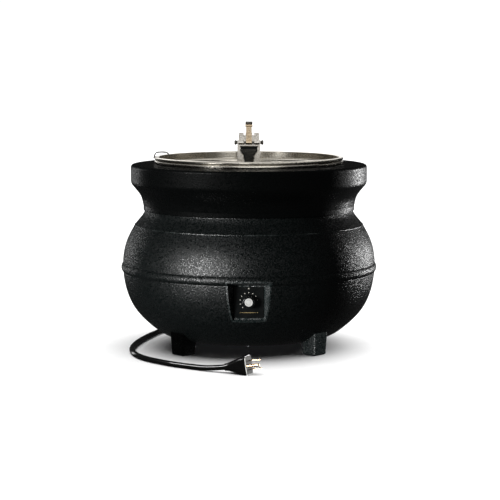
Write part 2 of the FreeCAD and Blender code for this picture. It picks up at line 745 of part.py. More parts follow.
def rounded_route(points):
    """Straight runs joined by tangent arcs as large as the shorter run at each point allows."""
    edges = []
    radii = []
    start = points[0]
    for before, corner, after in zip(points, points[1:], points[2:]):
        u = (before - corner).normalize()
        w = (after - corner).normalize()
        reach = 0.45 * min((before - corner).Length, (after - corner).Length)
        half_turn = (math.pi - u.getAngle(w)) / 2
        radius = reach / math.tan(half_turn)
        enter = corner + u * reach
        leave = corner + w * reach
        centre = corner + (u + w).normalize() * (radius / math.cos(half_turn))
        middle = centre + (corner - centre).normalize() * radius
        edges.append(Part.LineSegment(start, enter).toShape())
        edges.append(Part.Arc(enter, middle, leave).toShape())
        radii.append(radius)
        start = leave
    edges.append(Part.LineSegment(start, points[-1]).toShape())
    return Part.Wire(edges), radii


def tube(points, radius, report=""):
    wire, radii = rounded_route(points)
    section = Part.Wire(Part.makeCircle(radius, points[0], points[1] - points[0]))
    body = wire.makePipeShell([section], True, True)
    if report:
        ideal = math.pi * radius ** 2 * wire.Length
        print(f"{report}: length {wire.Length:.1f}, volume / (section x length) {body.Volume / ideal:.4f},",
              "radii", [round(r) for r in radii])
    return body


def cord_lead_in():
    """From the strain relief down on to the top of the stored coil."""
    route = [V(GLAND_X, RELIEF_TIP_Y, GLAND_Z), V(GLAND_X, 204.5, GLAND_Z), V(GLAND_X, 234.5, 13.8),
             V(GLAND_X, 255.0, 13.4)]
    return tube(route, CORD_R, "cord_lead_in")


def cord_run():
    """From the coil, round the left of the kettle to the plug in front."""
    outer_turn = COIL_INNER_R + 2 * COIL_PITCH
    a = math.radians(COIL_EXIT_DEG)
    leave = V(COIL_X + outer_turn * math.cos(a), COIL_Y + outer_turn * math.sin(a), COIL_LOW_Z)
    heading = V(-math.sin(a), math.cos(a), 0)
    z = CORD_FLOOR_Z
    route = [
        leave,
        leave + heading * 40 + V(0, 0, -0.3),
        V(-106, 199.5, 4.5),
        V(-131, 150, z),
        V(-159, 77, z),
        V(-180, -5, z),
        V(-187, -80, z),
        V(-168, -150, z),
        V(-120, -204, z),
        V(-88, -227, z),
        PLUG_TAIL - PLUG_DIRECTION * 27,
        PLUG_TAIL,
    ]
    return tube(route, CORD_R, "cord_run")


def cord_coil():
    """Outer shape of the stored coil: two layers, with a third turn outside the lower one."""
    inner = COIL_INNER_R - CORD_R
    upper = COIL_INNER_R + COIL_PITCH + CORD_R
    lower = COIL_INNER_R + 2 * COIL_PITCH + CORD_R
    z0 = COIL_LOW_Z - CORD_R
    z1 = COIL_LOW_Z + CORD_R
    z2 = COIL_LOW_Z + COIL_PITCH + CORD_R
    coil = ring(inner, lower, z0, z1).fuse(ring(inner, upper, z1, z2)).removeSplitter()
    coil.translate(V(COIL_X, COIL_Y, 0))
    return coil


def cord_tie():
    """Strap round the coil's turns, at its far side."""
    inner = COIL_INNER_R - CORD_R
    outer = COIL_INNER_R + 2 * COIL_PITCH + CORD_R
    top = COIL_LOW_Z + COIL_PITCH + CORD_R
    strap = box(-4.5, 4.5, inner - 0.9, outer + 0.9, 0.05, top + 0.9)
    strap = strap.cut(box(-6, 6, inner, outer, COIL_LOW_Z - CORD_R, top))
    strap.translate(V(COIL_X, COIL_Y, 0))
    return strap


def strain_relief():
    """Flanged, tapered sleeve that the cord leaves through."""
    barrel = rod_y(6.2, 132, GLAND_FACE_Y, GLAND_X, GLAND_Z)
    flange = rod_y(9.6, GLAND_FACE_Y, GLAND_FACE_Y + 3, GLAND_X, GLAND_Z)
    taper_start = GLAND_FACE_Y + 3
    taper = Part.makeCone(7.6, 5.2, RELIEF_TIP_Y - taper_start, V(GLAND_X, taper_start, GLAND_Z), Y_AXIS)
    body = merge([barrel, flange, taper])
    for i in range(4):
        y = taper_start + 3 + 4.4 * i
        body = body.cut(ring_y(5.6 - 0.3 * i, 9.0, y, y + 1.6))
    return body


def ring_y(r_in, r_out, y0, y1):
    """Ring about the gland's axis."""
    return rod_y(r_out, y0, y1, GLAND_X, GLAND_Z).cut(rod_y(r_in, y0, y1, GLAND_X, GLAND_Z))


def on_plug(shape):
    """Places a piece drawn with the plug's tail at the origin and its blades along +X."""
    side = Z_AXIS.cross(PLUG_DIRECTION).normalize()
    up = PLUG_DIRECTION.cross(side)
    copy = shape.copy()
    copy.Placement = FreeCAD.Placement(PLUG_TAIL, FreeCAD.Rotation(PLUG_DIRECTION, side, up, "XZY"))
    return copy


def rounded_rectangle(x, deep, high, corner):
    """Wire in a plane of constant x, the same edges for every size."""
    a = deep / 2
    b = high / 2
    c = corner
    k = c * (1 - math.sqrt(0.5))
    edges = []
    for sy, sz in ((1, 1), (-1, 1), (-1, -1), (1, -1)):
        first = V(x, sy * a, sz * (b - c))
        last = V(x, sy * (a - c), sz * b)
        middle = V(x, sy * (a - k), sz * (b - k))
        if sy * sz < 0:
            first, last = last, first
        edges.append(Part.Arc(first, middle, last).toShape())
    joined = []
    for i, edge in enumerate(edges):
        nxt = edges[(i + 1) % 4]
        joined.append(edge)
        joined.append(Part.LineSegment(edge.lastVertex().Point, nxt.firstVertex().Point).toShape())
    return Part.Wire(joined)


def plug_blade(sign):
    """Flat blade, wide face level; both blades stand one above the other."""
    z = sign * BLADE_GAP / 2
    blade = box(PLUG_LENGTH - 8, PLUG_LENGTH + BLADE_LENGTH, 0.9, 7.2, z - 0.75, z + 0.75)
    tip = [e for e in blade.Edges if e.BoundBox.XMin > PLUG_LENGTH + BLADE_LENGTH - 0.01 and e.Length > 5]
    return blade.makeChamfer(0.5, tip)


def ground_pin():
    y = 4.05 - GROUND_OFFSET
    pin = Part.makeCylinder(2.4, BLADE_LENGTH + 10.5, V(PLUG_LENGTH - 8, y, 0), X_AXIS)
    tip = [e for e in pin.Edges if e.BoundBox.XMin > PLUG_LENGTH + BLADE_LENGTH + 2]
    return pin.makeFillet(1.4, tip)


def plug():
    """Flared moulded body, pale face plate, two blades and the longer ground pin."""
    sections = [(0, 11.0, 11.0, 5.3), (6, 12.4, 12.6, 5.6), (16, 17.0, 19.0, 6.0), (27, 22.0, 25.0, 6.0),
                (PLUG_LENGTH - 1.6, PLUG_DEEP, PLUG_HIGH, 4.5)]
    body = Part.makeLoft([rounded_rectangle(*s) for s in sections], True, False)
    profile = rounded_rectangle(PLUG_LENGTH - 1.6, PLUG_DEEP - 1.6, PLUG_HIGH - 1.6, 4.0)
    face = Part.Face(profile).extrude(V(1.6, 0, 0))
    metal = plug_blade(1).fuse(plug_blade(-1))
    pin = ground_pin()
    save("plug_body", on_plug(body.cut(metal).cut(pin)))
    save("plug_face", on_plug(face.cut(metal).cut(pin)))
    save("plug_blades", on_plug(group([plug_blade(1), plug_blade(-1)])))
    save("plug_ground_pin", on_plug(pin))


SINGLE_NODES = [
    neck_collar, upper_shell, belt_ring, lower_shell, control_pocket, control_panel,
    foot_screws, foot_pads, base_cover, base_screws, tie_rods,
    water_well, inset_vessel, rim_lift_tab,
    heater_band, heater_clamp, insulation_jacket, heat_shield, shield_posts,
    thermostat_body, thermostat_nut, thermostat_spindle, control_knob, knob_cap,
    sensing_bulb, bulb_clip, capillary_tube, high_limit_cutout, terminal_block, internal_leads, earth_stud,
    hinge_bracket, hinge_back_plate, bracket_rivets, hinge_pin, hinge_knuckles, latch_pin,
    hinge_tongue, tongue_rod, latch_lever,
    strain_relief, cord_lead_in, cord_coil, cord_tie, cord_run,
]


def main():
    os.makedirs("parts", exist_ok=True)
    for make in SINGLE_NODES:
        save(make.__name__, make())
    feet()
    plug()


main()
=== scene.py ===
"""Countertop soup kettle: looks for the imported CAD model, in metres, in the CAD frame."""

import math

import bmesh
import bpy
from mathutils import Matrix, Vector


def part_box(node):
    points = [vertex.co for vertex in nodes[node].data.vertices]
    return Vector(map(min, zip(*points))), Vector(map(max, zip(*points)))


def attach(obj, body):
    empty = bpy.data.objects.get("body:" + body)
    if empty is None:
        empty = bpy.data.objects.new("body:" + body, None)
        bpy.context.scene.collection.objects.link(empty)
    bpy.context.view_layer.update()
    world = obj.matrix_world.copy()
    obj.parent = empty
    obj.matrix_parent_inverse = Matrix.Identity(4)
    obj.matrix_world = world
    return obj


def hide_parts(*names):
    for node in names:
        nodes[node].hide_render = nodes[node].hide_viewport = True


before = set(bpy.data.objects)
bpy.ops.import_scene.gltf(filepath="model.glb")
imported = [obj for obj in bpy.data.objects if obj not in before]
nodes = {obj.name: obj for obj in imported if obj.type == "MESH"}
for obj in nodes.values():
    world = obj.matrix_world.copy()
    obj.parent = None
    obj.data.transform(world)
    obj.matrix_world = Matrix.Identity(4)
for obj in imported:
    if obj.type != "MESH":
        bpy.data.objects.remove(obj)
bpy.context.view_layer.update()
scene = bpy.context.scene


def middle(node):
    lo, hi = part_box(node)
    return (lo + hi) / 2


# ------------------------------------------------------------------ camera

EYE = Vector((0.0018, -2.791, 0.472))
PITCH_DOWN = 6.53
LENS_MM = 125.8
SENSOR_MM = 36.0

camera_data = bpy.data.cameras.new("camera")
camera_data.lens = LENS_MM
camera_data.sensor_width = SENSOR_MM
camera = bpy.data.objects.new("camera", camera_data)
camera.location = EYE
camera.rotation_euler = (math.radians(90.0 - PITCH_DOWN), 0.0, 0.0)
scene.collection.objects.link(camera)
scene.camera = camera


# ------------------------------------------------------------------ cord

CORD_R = 0.0041
FLOOR_Z = 0.0042
RELIEF_EXIT = (0.032, 0.184, 0.028)
COIL_CENTRE = Vector((-0.0128, 0.256, 0.0))
COIL_INNER_R = 0.0365
COIL_PITCH = 0.0083
COIL_LOW_Z = 0.0051
COIL_POINTS = 16
COIL_EXIT_DEG = 150.0
CROSS_START_DEG = 210.0
CROSS_SPAN_DEG = 120.0
COIL_LEAVE = 0.040
COIL_LEAVE_DROP = 0.0003
PLUG_TAIL = Vector((-0.0345, -0.2565, 0.0085))
PLUG_DIRECTION = Vector((35.0, -14.0, 5.5)).normalized()
PLUG_STRAIGHT = 0.027

LEAD_IN = [RELIEF_EXIT, (0.032, 0.2045, 0.028), (0.032, 0.2345, 0.0138)]

# Strands of the coil in winding order: radius step, layer (1 is the upper)
STRANDS = [(1, 1), (0, 1), (0, 0), (1, 0), (2, 0)]


def coil_points():
    """Turns of the stored coil; each crosses over to the next on the side away from the kettle's left."""
    points = []
    step = 360.0 / COIL_POINTS
    total = (len(STRANDS) - 1) * 360.0 + COIL_EXIT_DEG
    for i in range(int(total / step)):
        angle = step * i
        turn = int(angle // 360.0)
        within = angle - 360.0 * turn
        ease = min(max((within - CROSS_START_DEG) / CROSS_SPAN_DEG, 0.0), 1.0)
        here = STRANDS[turn]
        after = STRANDS[min(turn + 1, len(STRANDS) - 1)]
        ring = here[0] + (after[0] - here[0]) * ease
        layer = here[1] + (after[1] - here[1]) * ease
        radius = (COIL_INNER_R + COIL_PITCH * ring) / math.cos(math.pi / COIL_POINTS)
        a = math.radians(angle)
        points.append(
            (
                COIL_CENTRE.x + radius * math.cos(a),
                COIL_CENTRE.y + radius * math.sin(a),
                COIL_LOW_Z + COIL_PITCH * layer,
            )
        )
    return points


def run_points():
    a = math.radians(COIL_EXIT_DEG)
    outer = COIL_INNER_R + 2 * COIL_PITCH
    leave = COIL_CENTRE + Vector((outer * math.cos(a), outer * math.sin(a), COIL_LOW_Z))
    heading = Vector((-math.sin(a), math.cos(a), 0.0))
    return [
        leave,
        leave + heading * COIL_LEAVE - Vector((0.0, 0.0, COIL_LEAVE_DROP)),
        (-0.106, 0.1995, 0.0045),
        (-0.131, 0.150, FLOOR_Z),
        (-0.159, 0.077, FLOOR_Z),
        (-0.180, -0.005, FLOOR_Z),
        (-0.187, -0.080, FLOOR_Z),
        (-0.168, -0.150, FLOOR_Z),
        (-0.120, -0.204, FLOOR_Z),
        (-0.088, -0.227, FLOOR_Z),
        PLUG_TAIL - PLUG_DIRECTION * PLUG_STRAIGHT,
        PLUG_TAIL,
    ]


def nurbs(name, points, radius):
    data = bpy.data.curves.new(name, "CURVE")
    data.dimensions = "3D"
    spline = data.splines.new("NURBS")
    spline.points.add(len(points) - 1)
    for point, place in zip(spline.points, points):
        point.co = (*place, 1.0)
        point.radius = radius
    spline.order_u = 3
    spline.use_endpoint_u = True
    data.resolution_u = 8
    data.bevel_depth = 1.0
    data.bevel_resolution = 6
    data.use_fill_caps = True
    obj = bpy.data.objects.new(name, data)
    scene.collection.objects.link(obj)
    return obj


cord = nurbs("mains_cord", LEAD_IN + coil_points() + run_points(), CORD_R)
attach(cord, "kettle")
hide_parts("cord_lead_in", "cord_coil", "cord_run")


# ------------------------------------------------------------------ mesh helpers


def new_piece(name, mesh_builder, body, smooth=True):
    """One mesh object from a function that fills a bmesh."""
    made = bmesh.new()
    mesh_builder(made)
    bmesh.ops.recalc_face_normals(made, faces=made.faces)
    data = bpy.data.meshes.new(name)
    made.to_mesh(data)
    made.free()
    for polygon in data.polygons:
        polygon.use_smooth = smooth
    obj = bpy.data.objects.new(name, data)
    scene.collection.objects.link(obj)
    if body:
        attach(obj, body)
    return obj


def bridge(made, lows, highs):
    """Faces between each ring of vertices and its partner in the second list."""
    for low, high in zip(lows, highs):
        count = len(low)
        for i in range(count):
            j = (i + 1) % count
            made.faces.new((low[i], low[j], high[j], high[i]))


def loft(made, rings):
    """Closed skin through rings of points of equal count."""
    rows = [[made.verts.new(p) for p in ring] for ring in rings]
    bridge(made, rows, rows[1:])
    made.faces.new(list(reversed(rows[0])))
    made.faces.new(rows[-1])


def round_loop(centre, across, along, radius, count=32):
    points = []
    for i in range(count):
        a = 2 * math.pi * i / count
        points.append(centre + across * (radius * math.cos(a)) + along * (radius * math.sin(a)))
    return points


# ------------------------------------------------------------------ finishes


# Joints between the mouldings, and the edge of the shoulder, as heights above the table
NECK_JOINT_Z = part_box("upper_shell")[1].z
SEAM_HEIGHTS = (NECK_JOINT_Z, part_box("upper_shell")[0].z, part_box("lower_shell")[1].z)
SHOULDER_EDGE_Z = 0.1953


class Finish:
    """A Principled material and the texture nodes that drive it."""

    def __init__(self, name, color, roughness, metallic=0.0, **values):
        self.material = bpy.data.materials.new(name)
        self.material.use_nodes = True
        self.tree = self.material.node_tree
        self.shader = self.tree.nodes["Principled BSDF"]
        self.shader.inputs["Base Color"].default_value = (*color, 1.0)
        self.shader.inputs["Roughness"].default_value = roughness
        self.shader.inputs["Metallic"].default_value = metallic
        for socket, value in values.items():
            self.shader.inputs[socket.replace("_", " ")].default_value = value
        self.place = self.node("ShaderNodeTexCoord").outputs["Object"]

    def node(self, kind, **settings):
        made = self.tree.nodes.new(kind)
        for key, value in settings.items():
            setattr(made, key, value)
        return made

    def feed(self, value, socket):
        """Links a node's output, or sets a plain number or vector."""
        if isinstance(value, bpy.types.NodeSocket):
            self.tree.links.new(value, socket)
        else:
            socket.default_value = value

    def math(self, operation, a, b=0.0):
        made = self.node("ShaderNodeMath", operation=operation)
        self.feed(a, made.inputs[0])
        self.feed(b, made.inputs[1])
        return made.outputs[0]

    def stretched(self, scale, turn=(0.0, 0.0, 0.0)):
        """Object coordinates turned, then scaled by different amounts along each axis."""
        made = self.node("ShaderNodeMapping")
        self.feed(self.place, made.inputs["Vector"])
        made.inputs["Rotation"].default_value = turn
        made.inputs["Scale"].default_value = scale
        return made.outputs["Vector"]

    def spun(self, centre_x=0.0, centre_y=0.0, radial=1.0, round_the_axis=0.02):
        """Coordinates that run round an upright axis: radius, height and a little angle."""
        parts = self.node("ShaderNodeSeparateXYZ")
        self.feed(self.place, parts.inputs[0])
        x = self.math("SUBTRACT", parts.outputs[0], centre_x)
        y = self.math("SUBTRACT", parts.outputs[1], centre_y)
        radius = self.math("SQRT", self.math("ADD", self.math("MULTIPLY", x, x), self.math("MULTIPLY", y, y)))
        angle = self.math("MULTIPLY", self.math("ARCTAN2", y, x), round_the_axis)
        joined = self.node("ShaderNodeCombineXYZ")
        self.feed(self.math("MULTIPLY", radius, radial), joined.inputs[0])
        self.feed(parts.outputs[2], joined.inputs[1])
        self.feed(angle, joined.inputs[2])
        return joined.outputs[0]

    def noise(self, scale, detail=3.0, rough=0.5, where=None):
        made = self.node("ShaderNodeTexNoise")
        self.feed(where or self.place, made.inputs["Vector"])
        made.inputs["Scale"].default_value = scale
        made.inputs["Detail"].default_value = detail
        made.inputs["Roughness"].default_value = rough
        return made.outputs["Fac"]

    def cells(self, scale, feature="F1", where=None, output="Distance"):
        made = self.node("ShaderNodeTexVoronoi", feature=feature)
        self.feed(where or self.place, made.inputs["Vector"])
        made.inputs["Scale"].default_value = scale
        return made.outputs[output]

    def spread(self, value, low, high, from_low=0.0, from_high=1.0):
        made = self.node("ShaderNodeMapRange")
        self.feed(value, made.inputs["Value"])
        made.inputs["From Min"].default_value = from_low
        made.inputs["From Max"].default_value = from_high
        made.inputs["To Min"].default_value = low
        made.inputs["To Max"].default_value = high
        return made.outputs["Result"]

    def band(self, height, inner, outer):
        """1 within inner of a height above the table, falling to 0 at outer."""
        parts = self.node("ShaderNodeSeparateXYZ")
        self.feed(self.place, parts.inputs[0])
        away = self.math("ABSOLUTE", self.math("SUBTRACT", parts.outputs[2], height))
        return self.spread(away, 1.0, 0.0, inner, outer)

    def seams(self):
        """Height map with a soft groove at each joint of the mouldings."""
        joined = 1.0
        for height in SEAM_HEIGHTS:
            joined = self.math("SUBTRACT", joined, self.band(height, 0.0003, 0.0010))
        return joined

    def tint(self, value, stops):
        """Colours along a ramp, fed to the base colour."""
        ramp = self.node("ShaderNodeValToRGB")
        self.feed(value, ramp.inputs["Fac"])
        elements = ramp.color_ramp.elements
        while len(elements) < len(stops):
            elements.new(0.5)
        for element, (position, color) in zip(elements, stops):
            element.position = position
            element.color = (*color, 1.0)
        self.feed(ramp.outputs["Color"], self.shader.inputs["Base Color"])

    def gloss(self, value, low, high, from_low=0.0, from_high=1.0):
        self.feed(self.spread(value, low, high, from_low, from_high), self.shader.inputs["Roughness"])

    def relief(self, *layers):
        """Bump layers of (height, strength, distance), one on the other."""
        normal = None
        for height, strength, distance in layers:
            bump = self.node("ShaderNodeBump")
            bump.inputs["Strength"].default_value = strength
            bump.inputs["Distance"].default_value = distance
            self.feed(height, bump.inputs["Height"])
            if normal:
                self.feed(normal, bump.inputs["Normal"])
            normal = bump.outputs["Normal"]
        self.feed(normal, self.shader.inputs["Normal"])


def textured_body():
    """Black moulding with a pebble grain of rounded bumps; its colour follows the grain's height, as painted
    shade in the hollows and painted glints on the bump tops, and a painted highlight line runs along the
    shoulder edge.
    """
    f = Finish("textured_body", (0.006, 0.008, 0.008), 0.30)
    pebbles = f.cells(520.0)
    lumps = f.noise(520.0, 3.0, 0.65)
    fleck = f.node("ShaderNodeRGBToBW")
    f.feed(f.cells(680.0, output="Color"), fleck.inputs[0])
    pebble_height_and_shade = f.math("SUBTRACT", lumps, f.math("MULTIPLY", pebbles, 0.6))
    # Painted highlight: a paler, glossier thin line along the shoulder edge, broken up by noise
    edge = f.band(SHOULDER_EDGE_Z, 0.0005, 0.0011)
    painted_shoulder_highlight = f.math("MULTIPLY", edge, f.spread(f.noise(60.0), 0.2, 1.0, 0.35, 0.65))
    # Tint: painted shade in the pebble hollows, painted glints on the bump tops, plus the painted shoulder
    # highlight line
    f.tint(
        f.math("ADD", pebble_height_and_shade, f.math("MULTIPLY", painted_shoulder_highlight, 0.7)),
        [
            (0.0, (0.001, 0.002, 0.002)), (0.3, (0.003, 0.005, 0.005)),
            (0.65, (0.018, 0.023, 0.022)), (1.0, (0.08, 0.09, 0.09)),
        ],
    )
    f.gloss(f.math("SUBTRACT", fleck.outputs[0], f.math("MULTIPLY", painted_shoulder_highlight, 0.3)), 0.16, 0.58, 0.25, 0.75)
    f.relief((f.noise(30.0, 2.0), 0.10, 0.002), (pebble_height_and_shade, 1.0, 0.00045), (f.seams(), 0.5, 0.0004))
    return f.material


def satin_collar():
    """The same black moulding with a finer, flatter grain."""
    f = Finish("satin_collar", (0.009, 0.012, 0.012), 0.42)
    fine = f.noise(1100.0, 3.0, 0.6)
    soft = f.noise(500.0, 3.0, 0.6)
    fleck = f.node("ShaderNodeRGBToBW")
    f.feed(f.cells(700.0, output="Color"), fleck.inputs[0])
    f.tint(soft, [(0.25, (0.003, 0.005, 0.005)), (0.75, (0.014, 0.018, 0.018))])
    f.gloss(fleck.outputs[0], 0.24, 0.58, 0.25, 0.75)
    f.relief(
        (f.noise(18.0, 2.0), 0.12, 0.003), (soft, 0.8, 0.0004), (fine, 0.25, 0.0002), (f.seams(), 1.0, 0.0012)
    )
    return f.material


def gloss_black():
    f = Finish("gloss_black", (0.006, 0.007, 0.007), 0.14, Coat_Weight=0.5, Coat_Roughness=0.05)
    smear = f.noise(70.0, 4.0, 0.6)
    f.tint(smear, [(0.3, (0.005, 0.006, 0.006)), (0.8, (0.012, 0.013, 0.013))])
    f.gloss(smear, 0.10, 0.24, 0.3, 0.8)
    f.relief((f.noise(220.0, 2.0), 0.06, 0.0004))
    return f.material


def knob_white():
    """Off-white insert with a shallow turned groove round its face, coloured darker in the groove as painted
    shade.
    """
    f = Finish("knob_white", (0.84, 0.84, 0.81), 0.28)
    face = middle("knob_cap")
    parts = f.node("ShaderNodeSeparateXYZ")
    f.feed(f.place, parts.inputs[0])
    x = f.math("SUBTRACT", parts.outputs[0], face.x)
    z = f.math("SUBTRACT", parts.outputs[2], face.z)
    radius = f.math("SQRT", f.math("ADD", f.math("MULTIPLY", x, x), f.math("MULTIPLY", z, z)))
    groove = f.math("MINIMUM", f.math("ABSOLUTE", f.math("SUBTRACT", radius, 0.0038)), 0.0006)
    # Painted shade: the groove is coloured darker than the rest of the face
    f.tint(f.spread(groove, 0.0, 1.0, 0.0, 0.0005), [(0.0, (0.50, 0.50, 0.47)), (1.0, (0.85, 0.85, 0.82))])
    f.gloss(f.noise(400.0, 3.0), 0.22, 0.36)
    f.relief((groove, 0.8, 0.6), (f.noise(900.0, 2.0), 0.08, 0.0002))
    return f.material


def spun_steel():
    """Stainless sheet spun on a lathe: fine rings round the axis, warm grey."""
    f = Finish("spun_steel", (0.62, 0.59, 0.54), 0.24, 1.0)
    rings = f.noise(2600.0, 2.0, 0.6, f.spun())
    bands = f.noise(160.0, 3.0, 0.5, f.spun(round_the_axis=0.004))
    haze = f.noise(14.0, 3.0)
    f.tint(bands, [(0.3, (0.51, 0.475, 0.41)), (0.7, (0.76, 0.72, 0.64))])
    f.gloss(f.math("ADD", rings, f.math("MULTIPLY", haze, 0.5)), 0.14, 0.36, 0.4, 1.1)
    f.relief((bands, 0.10, 0.0008), (rings, 0.12, 0.00015))
    return f.material


def brushed_steel(name, red, green, blue):
    """Stainless strip brushed along its length, across the kettle; the factors warm or cool its grey."""
    f = Finish(name, (0.66 * red, 0.63 * green, 0.58 * blue), 0.26, 1.0)
    strokes = f.noise(120.0, 3.0, 0.6, f.stretched((2.0, 26.0, 26.0)))
    haze = f.noise(45.0, 3.0)
    f.tint(
        strokes,
        [(0.3, (0.55 * red, 0.52 * green, 0.47 * blue)), (0.7, (0.76 * red, 0.73 * green, 0.68 * blue))],
    )
    f.gloss(f.math("ADD", strokes, f.math("MULTIPLY", haze, 0.5)), 0.16, 0.38, 0.4, 1.1)
    f.relief((strokes, 0.12, 0.0002), (f.noise(60.0, 2.0), 0.05, 0.0008))
    return f.material


def bright_steel():
    f = Finish("bright_steel", (0.74, 0.72, 0.68), 0.14, 1.0)
    swirl = f.noise(600.0, 4.0, 0.6)
    f.tint(f.noise(90.0, 3.0), [(0.3, (0.64, 0.62, 0.58)), (0.7, (0.80, 0.78, 0.75))])
    f.gloss(swirl, 0.08, 0.24, 0.3, 0.8)
    f.relief((swirl, 0.08, 0.0001))
    return f.material


def dark_steel():
    """Blackened steel, mottled, with brighter rubbed patches."""
    f = Finish("dark_steel", (0.14, 0.13, 0.12), 0.30, 1.0)
    mottle = f.noise(240.0, 4.0, 0.65)
    f.tint(mottle, [(0.35, (0.07, 0.065, 0.06)), (0.62, (0.17, 0.16, 0.14)), (0.8, (0.34, 0.32, 0.29))])
    f.gloss(mottle, 0.22, 0.45, 0.3, 0.8)
    f.relief((mottle, 0.15, 0.0003))
    return f.material


def zinc_steel():
    """Zinc plate: grey crystals of different tone and sheen."""
    f = Finish("zinc_steel", (0.52, 0.53, 0.55), 0.32, 1.0)
    crystal = f.cells(110.0, output="Color")
    level = f.node("ShaderNodeRGBToBW")
    f.feed(crystal, level.inputs[0])
    f.tint(level.outputs[0], [(0.1, (0.42, 0.43, 0.45)), (0.9, (0.62, 0.63, 0.66))])
    f.gloss(level.outputs[0], 0.24, 0.44)
    f.relief((f.noise(700.0, 3.0), 0.10, 0.0002))
    return f.material


def aluminium_part():
    f = Finish("aluminium_part", (0.70, 0.71, 0.72), 0.34, 1.0)
    rolled = f.noise(90.0, 3.0, 0.6, f.stretched((1.0, 22.0, 22.0)))
    f.tint(rolled, [(0.3, (0.60, 0.61, 0.62)), (0.7, (0.78, 0.79, 0.80))])
    f.gloss(rolled, 0.26, 0.44, 0.3, 0.7)
    f.relief((rolled, 0.10, 0.0002))
    return f.material


def brass_part():
    """Brass with a slight brown tarnish in patches."""
    f = Finish("brass_part", (0.72, 0.54, 0.34), 0.24, 1.0)
    tarnish = f.noise(220.0, 4.0, 0.6)
    f.tint(tarnish, [(0.3, (0.52, 0.36, 0.20)), (0.6, (0.74, 0.56, 0.36)), (0.85, (0.84, 0.68, 0.48))])
    f.gloss(tarnish, 0.16, 0.38, 0.3, 0.8)
    f.relief((f.noise(160.0, 3.0, 0.5, f.stretched((1.0, 9.0, 9.0))), 0.08, 0.0002))
    return f.material


def copper_tube():
    f = Finish("copper_tube", (0.70, 0.38, 0.24), 0.28, 1.0)
    patina = f.noise(170.0, 4.0, 0.6)
    f.tint(patina, [(0.3, (0.38, 0.18, 0.11)), (0.6, (0.70, 0.38, 0.24)), (0.85, (0.82, 0.50, 0.36))])
    f.gloss(patina, 0.20, 0.44, 0.3, 0.8)
    f.relief((f.noise(420.0, 2.0), 0.10, 0.0002))
    return f.material


def rubber_black():
    """Matt rubber with a fine mould texture and a trace of dust in the hollows."""
    f = Finish("rubber_black", (0.022, 0.022, 0.023), 0.68, Specular_IOR_Level=0.35)
    dust = f.noise(110.0, 4.0, 0.6)
    f.tint(dust, [(0.35, (0.015, 0.015, 0.016)), (0.8, (0.045, 0.044, 0.043))])
    f.gloss(dust, 0.56, 0.80, 0.3, 0.8)
    f.relief((f.noise(1300.0, 2.0), 0.20, 0.0002))
    return f.material


def cord_jacket():
    """Flexible vinyl jacket: satin, with faint ripples from the twisted cores inside."""
    f = Finish("cord_jacket", (0.004, 0.004, 0.005), 0.22, Specular_IOR_Level=0.5)
    ripple = f.noise(95.0, 2.0)
    scuff = f.noise(650.0, 3.0, 0.6)
    f.tint(scuff, [(0.3, (0.002, 0.002, 0.002)), (0.8, (0.005, 0.005, 0.005))])
    f.gloss(scuff, 0.10, 0.22, 0.3, 0.8)
    f.relief((ripple, 0.10, 0.0006), (scuff, 0.06, 0.0001))
    return f.material


def insulation():
    """Felted mineral fibre: long tangled streaks."""
    f = Finish("insulation", (0.74, 0.72, 0.66), 0.92)
    fibres = f.noise(110.0, 6.0, 0.75, f.stretched((1.0, 1.0, 5.0)))
    f.tint(fibres, [(0.25, (0.52, 0.49, 0.42)), (0.75, (0.82, 0.80, 0.74))])
    f.gloss(fibres, 0.85, 0.98)
    f.relief((fibres, 0.8, 0.0020))
    return f.material


def phenolic():
    f = Finish("phenolic", (0.045, 0.032, 0.026), 0.40)
    flecks = f.noise(800.0, 5.0, 0.7)
    f.tint(flecks, [(0.35, (0.028, 0.020, 0.017)), (0.65, (0.060, 0.042, 0.034)), (0.85, (0.12, 0.09, 0.07))])
    f.gloss(flecks, 0.30, 0.52, 0.3, 0.8)
    f.relief((flecks, 0.12, 0.0002))
    return f.material


def core_sleeve():
    """Braided heat-resistant sleeving."""
    f = Finish("core_sleeve", (0.55, 0.54, 0.50), 0.75)
    one = f.node("ShaderNodeTexWave", wave_type="BANDS", bands_direction="DIAGONAL")
    f.feed(f.place, one.inputs["Vector"])
    one.inputs["Scale"].default_value = 260.0
    other = f.node("ShaderNodeTexWave", wave_type="BANDS", bands_direction="DIAGONAL")
    f.feed(f.stretched((-1.0, 1.0, 1.0)), other.inputs["Vector"])
    other.inputs["Scale"].default_value = 260.0
    braid = f.math("MULTIPLY", one.outputs["Fac"], other.outputs["Fac"])
    f.tint(braid, [(0.0, (0.34, 0.33, 0.30)), (0.6, (0.66, 0.65, 0.61))])
    f.gloss(braid, 0.70, 0.85)
    f.relief((braid, 0.5, 0.0004))
    return f.material


def tie_black():
    """Woven hook-and-loop strap."""
    f = Finish("tie_black", (0.018, 0.018, 0.019), 0.80, Specular_IOR_Level=0.3)
    weave = f.node("ShaderNodeTexWave", wave_type="BANDS", bands_direction="X")
    f.feed(f.place, weave.inputs["Vector"])
    weave.inputs["Scale"].default_value = 330.0
    weave.inputs["Distortion"].default_value = 1.5
    weft = f.noise(1500.0, 3.0, 0.7)
    cloth = f.math("ADD", weave.outputs["Fac"], weft)
    f.tint(cloth, [(0.4, (0.010, 0.010, 0.011)), (1.0, (0.040, 0.040, 0.042))])
    f.gloss(cloth, 0.72, 0.9, 0.4, 1.6)
    f.relief((cloth, 0.6, 0.0004))
    return f.material


def plug_white():
    f = Finish("plug_white", (0.80, 0.80, 0.78), 0.42)
    pebble_height_and_shade = f.noise(500.0, 4.0, 0.6)
    f.tint(pebble_height_and_shade, [(0.3, (0.60, 0.60, 0.57)), (0.7, (0.78, 0.78, 0.75))])
    f.gloss(pebble_height_and_shade, 0.34, 0.52, 0.3, 0.7)
    f.relief((pebble_height_and_shade, 0.10, 0.0002))
    return f.material


